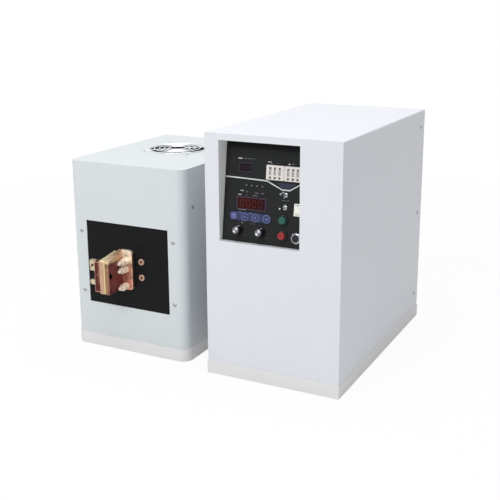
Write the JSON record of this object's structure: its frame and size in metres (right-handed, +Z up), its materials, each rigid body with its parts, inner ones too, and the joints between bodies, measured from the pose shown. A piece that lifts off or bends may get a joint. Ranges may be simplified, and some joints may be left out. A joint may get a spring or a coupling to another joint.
{
  "type": "induction melting furnace",
  "caption": "Two-unit electric melting furnace for gold: a power cabinet with a recessed control panel, and a heating head with copper coil terminals and a top fan.",
  "frame": {"origin": "on the floor under the middle of the whole set's outline box", "axes": "+Z up, fronts of both units face -Y, power cabinet towards +X and heating head towards -X"},
  "size_m": [0.603, 0.545, 0.47],
  "materials": {
    "cabinet_paint": "smooth light grey powder coat",
    "head_paint": "smooth pale blue-grey powder coat",
    "plinth_paint": "warm light grey paint",
    "panel_paint": "satin black",
    "display_bezel": "mauve bezel with a tinted window",
    "keypad_film": "blue overlay",
    "key_plastic": "pale blue",
    "white_plastic": "white",
    "wheel_plastic": "mid grey",
    "black_plastic": "black",
    "cream_plastic": "cream",
    "green_plastic": "green",
    "red_plastic": "red",
    "led_lens": "clear water-white lens",
    "chrome": "polished",
    "plated_metal": "zinc plated",
    "spun_aluminium": "spun face",
    "mill_aluminium": "mill finish",
    "brass": "turned",
    "bakelite": "black laminate",
    "copper": "machined copper, tarnished",
    "dark_copper": "oxidised copper",
    "insulation": "thin laminate",
    "board_laminate": "green circuit board",
    "core_steel": "ferrite core",
    "winding": "varnished winding",
    "capacitor_case": "moulded case"
  },
  "bodies": {
    "melting_set": {"bus_capacitors": "black_plastic", "button_bodies": "black_plastic", "cable_glands": "black_plastic", "coil_clamp_block": "dark_copper", "coil_water_sockets": "brass", "control_board": "board_laminate", "control_panel": "panel_paint", "cover_screws": "plated_metal", "earth_studs": "brass", "fan_frame": "black_plastic", "fan_guard": "chrome", "head_plinth": "plinth_paint", "head_rear_panel": "head_paint", "head_top_plate": "head_paint", "head_wrap": "head_paint", "heat_sink": "mill_aluminium", "hose_nipples": "brass", "host_cover": "cabinet_paint", "host_front_panel": "cabinet_paint", "host_plinth": "plinth_paint", "host_rear_panel": "cabinet_paint", "indicator_leds": "led_lens", "insulating_panel": "bakelite", "keypad_strip": "keypad_film", "left_terminal": "copper", "main_display": "display_bezel", "potentiometers": "plated_metal", "power_modules": "black_plastic", "right_terminal": "copper", "rocker_bezel": "cream_plastic", "small_display": "display_bezel", "socket_insert": "black_plastic", "socket_shell": "chrome", "tank_capacitors": "capacitor_case", "terminal_bolts": "plated_metal", "terminal_insulation": "insulation", "thumbwheel_banks": "white_plastic", "toggle_bodies": "chrome", "transformer_core": "core_steel", "transformer_primary": "winding"},
    "left_knob_turning": {"left_knob": "black_plastic", "left_knob_cap": "spun_aluminium"},
    "right_knob_turning": {"right_knob": "black_plastic", "right_knob_cap": "spun_aluminium"},
    "start_cap": {"start_button": "green_plastic"},
    "stop_cap": {"stop_button": "red_plastic"},
    "upper_lever": {"upper_toggle_lever": "chrome"},
    "lower_lever": {"lower_toggle_lever": "chrome"},
    "rocker_paddle": {"power_rocker": "cream_plastic"},
    "fan_wheel": {"fan_rotor": "black_plastic"},
    "key_cap_1": {"key_1": "key_plastic"},
    "key_cap_2": {"key_2": "key_plastic"},
    "key_cap_3": {"key_3": "key_plastic"},
    "key_cap_4": {"key_4": "key_plastic"},
    "digit_wheel_1": {"thumbwheel_1": "wheel_plastic"},
    "digit_wheel_2": {"thumbwheel_2": "wheel_plastic"},
    "digit_wheel_3": {"thumbwheel_3": "wheel_plastic"},
    "digit_wheel_4": {"thumbwheel_4": "wheel_plastic"},
    "digit_wheel_5": {"thumbwheel_5": "wheel_plastic"},
    "digit_wheel_6": {"thumbwheel_6": "wheel_plastic"}
  },
  "joints": [
    {"name": "left_knob_turn", "type": "hinge", "parent": "melting_set", "child": "left_knob_turning", "pos_m": [0.0928, -0.22756, 0.29161], "axis": [0, -0.9917, 0.1289], "range_deg": [-150, 150]},
    {"name": "right_knob_turn", "type": "hinge", "parent": "melting_set", "child": "right_knob_turning", "pos_m": [0.1386, -0.22756, 0.29161], "axis": [0, -0.9917, 0.1289], "range_deg": [-150, 150]},
    {"name": "start_button_press", "type": "slide", "parent": "melting_set", "child": "start_cap", "axis": [0, 0.9917, -0.1289], "range_m": [0, 0.003], "stiffness_N_per_m": 300, "springref_m": -0.002},
    {"name": "stop_button_press", "type": "slide", "parent": "melting_set", "child": "stop_cap", "axis": [0, 0.9917, -0.1289], "range_m": [0, 0.003], "stiffness_N_per_m": 300, "springref_m": -0.002},
    {"name": "key_1_press", "type": "slide", "parent": "melting_set", "child": "key_cap_1", "axis": [0, 0.9917, -0.1289], "range_m": [0, 0.0006], "stiffness_N_per_m": 400, "springref_m": -0.0005},
    {"name": "key_2_press", "type": "slide", "parent": "melting_set", "child": "key_cap_2", "axis": [0, 0.9917, -0.1289], "range_m": [0, 0.0006], "stiffness_N_per_m": 400, "springref_m": -0.0005},
    {"name": "key_3_press", "type": "slide", "parent": "melting_set", "child": "key_cap_3", "axis": [0, 0.9917, -0.1289], "range_m": [0, 0.0006], "stiffness_N_per_m": 400, "springref_m": -0.0005},
    {"name": "key_4_press", "type": "slide", "parent": "melting_set", "child": "key_cap_4", "axis": [0, 0.9917, -0.1289], "range_m": [0, 0.0006], "stiffness_N_per_m": 400, "springref_m": -0.0005},
    {"name": "thumbwheel_1_turn", "type": "hinge", "parent": "melting_set", "child": "digit_wheel_1", "pos_m": [0.1517, -0.2049, 0.39999], "axis": [1, 0, 0], "continuous": true},
    {"name": "thumbwheel_2_turn", "type": "hinge", "parent": "melting_set", "child": "digit_wheel_2", "pos_m": [0.161, -0.2049, 0.39999], "axis": [1, 0, 0], "continuous": true},
    {"name": "thumbwheel_3_turn", "type": "hinge", "parent": "melting_set", "child": "digit_wheel_3", "pos_m": [0.1703, -0.2049, 0.39999], "axis": [1, 0, 0], "continuous": true},
    {"name": "thumbwheel_4_turn", "type": "hinge", "parent": "melting_set", "child": "digit_wheel_4", "pos_m": [0.1872, -0.2049, 0.39999], "axis": [1, 0, 0], "continuous": true},
    {"name": "thumbwheel_5_turn", "type": "hinge", "parent": "melting_set", "child": "digit_wheel_5", "pos_m": [0.1965, -0.2049, 0.39999], "axis": [1, 0, 0], "continuous": true},
    {"name": "thumbwheel_6_turn", "type": "hinge", "parent": "melting_set", "child": "digit_wheel_6", "pos_m": [0.2058, -0.2049, 0.39999], "axis": [1, 0, 0], "continuous": true},
    {"name": "upper_toggle_throw", "type": "hinge", "parent": "melting_set", "child": "upper_lever", "pos_m": [0.1837, -0.22174, 0.36356], "axis": [1, 0, 0], "range_deg": [0, 18]},
    {"name": "lower_toggle_throw", "type": "hinge", "parent": "melting_set", "child": "lower_lever", "pos_m": [0.1837, -0.22467, 0.34105], "axis": [1, 0, 0], "range_deg": [-9, 9]},
    {"name": "power_rocker_throw", "type": "hinge", "parent": "melting_set", "child": "rocker_paddle", "pos_m": [0.2086, -0.22046, 0.33849], "axis": [1, 0, 0], "range_deg": [-14, 0]},
    {"name": "fan_spin", "type": "hinge", "parent": "melting_set", "child": "fan_wheel", "pos_m": [-0.1655, -0.0195, 0.3695], "axis": [0, 0, 1], "continuous": true}
  ]
}
